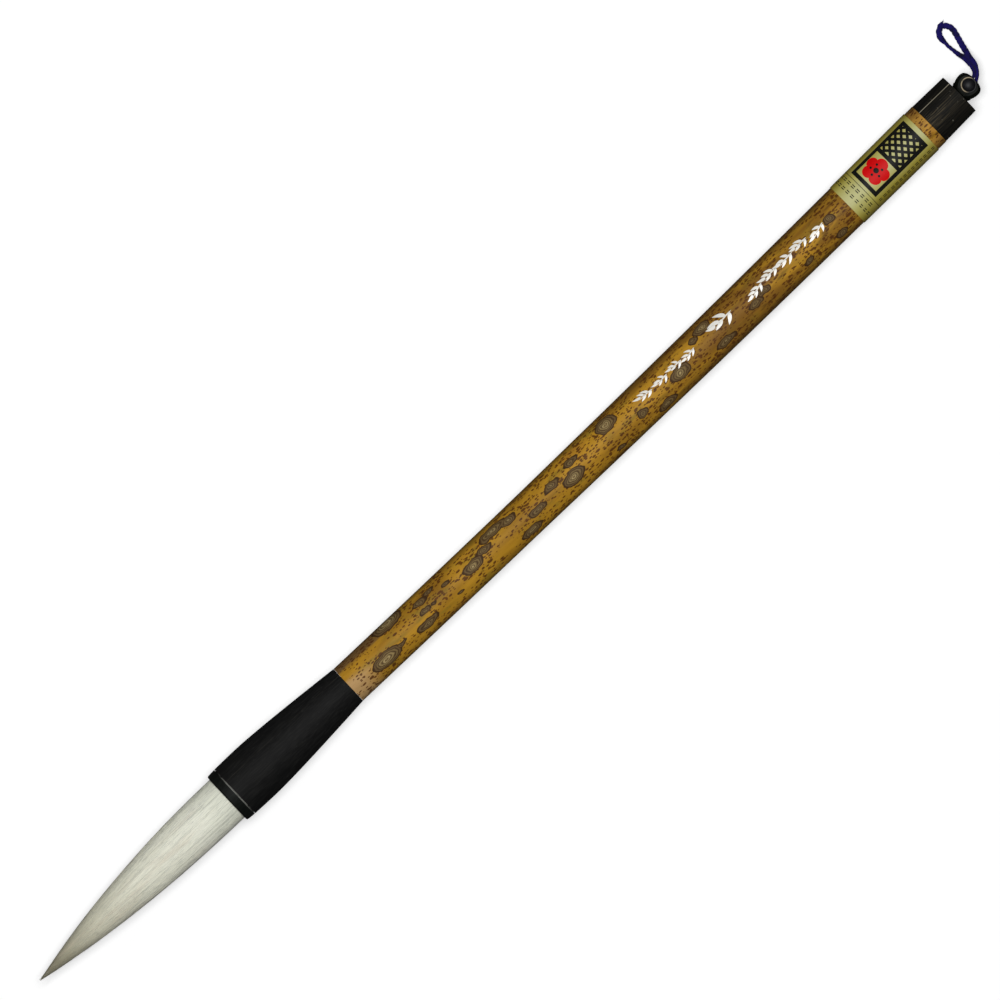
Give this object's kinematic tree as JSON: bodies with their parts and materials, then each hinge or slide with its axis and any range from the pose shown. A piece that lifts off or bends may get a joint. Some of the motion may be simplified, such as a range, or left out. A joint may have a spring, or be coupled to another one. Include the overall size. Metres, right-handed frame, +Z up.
{
  "type": "calligraphy brush",
  "caption": "East Asian calligraphy brush: speckled bamboo handle, flared black horn ferrule, ivory hair tuft that bends, black tail cap with knob and hanging loop.",
  "frame": {"origin": "on the table under the middle of the brush's bounding box, measured without the hanging loop", "axes": "+X along the brush from the hair tip to the tail, +Y across the brush towards the hanging loop, +Z up from the table"},
  "size_m": [0.3091, 0.0221, 0.0141],
  "materials": {
    "bamboo": "lacquered speckled bamboo",
    "horn": "satin black buffalo horn",
    "horn_ring": "polished black buffalo horn",
    "hair": "combed ivory goat hair, darker at the tip",
    "core_hair": "stiffer inner hair",
    "dowel_wood": "plain beech",
    "resin": "hard amber resin",
    "thread": "wound cotton thread",
    "gold_paper": "printed pale gold paper",
    "navy_cord": "flat woven navy cord",
    "white_lacquer": "thin painted leaf sprigs on the handle",
    "black_ink": "black print on the label",
    "red_ink": "red print on the label"
  },
  "bodies": {
    "handle": {"bamboo_shaft": "bamboo", "paper_label": "gold_paper", "ferrule_body": "horn", "mouth_ring": "horn_ring", "ferrule_dowel": "dowel_wood", "root_seal": "resin", "binding_thread": "thread", "cover_hair_root": "hair", "core_hair_root": "core_hair", "cover_hair_waist": "hair", "core_hair_waist": "core_hair", "tail_cap": "horn", "tail_dowel": "dowel_wood", "hanger_knob": "horn", "hanger_pin": "horn"},
    "tuft_belly": {"cover_hair_belly": "hair", "core_hair_belly": "core_hair", "throat_hair": "hair"},
    "tuft_tip": {"tip_hair": "hair"},
    "loop": {"hanging_loop": "navy_cord", "loop_knot": "navy_cord"}
  },
  "joints": [
    {"name": "tuft_side_bend", "type": "hinge", "parent": "handle", "child": "tuft_belly", "pos_m": [-0.0992, 0.00022, 0.00714], "axis": [0.0062, 0, 1], "range_deg": [-35, 35], "stiffness_Nm_per_rad": 0.03, "deforming": ["cover_hair_waist", "core_hair_waist"]},
    {"name": "tuft_press_bend", "type": "hinge", "parent": "tuft_belly", "child": "tuft_tip", "pos_m": [-0.1252, 0.00058, 0.00731], "axis": [0.0137, 0.9999, -0.0001], "range_deg": [-45, 45], "stiffness_Nm_per_rad": 0.012, "deforming": ["throat_hair"]},
    {"name": "loop_swing", "type": "hinge", "parent": "handle", "child": "loop", "pos_m": [0.15019, -0.00025, 0.0056], "axis": [0.0062, 0, 1], "range_deg": [-110, 40]}
  ]
}
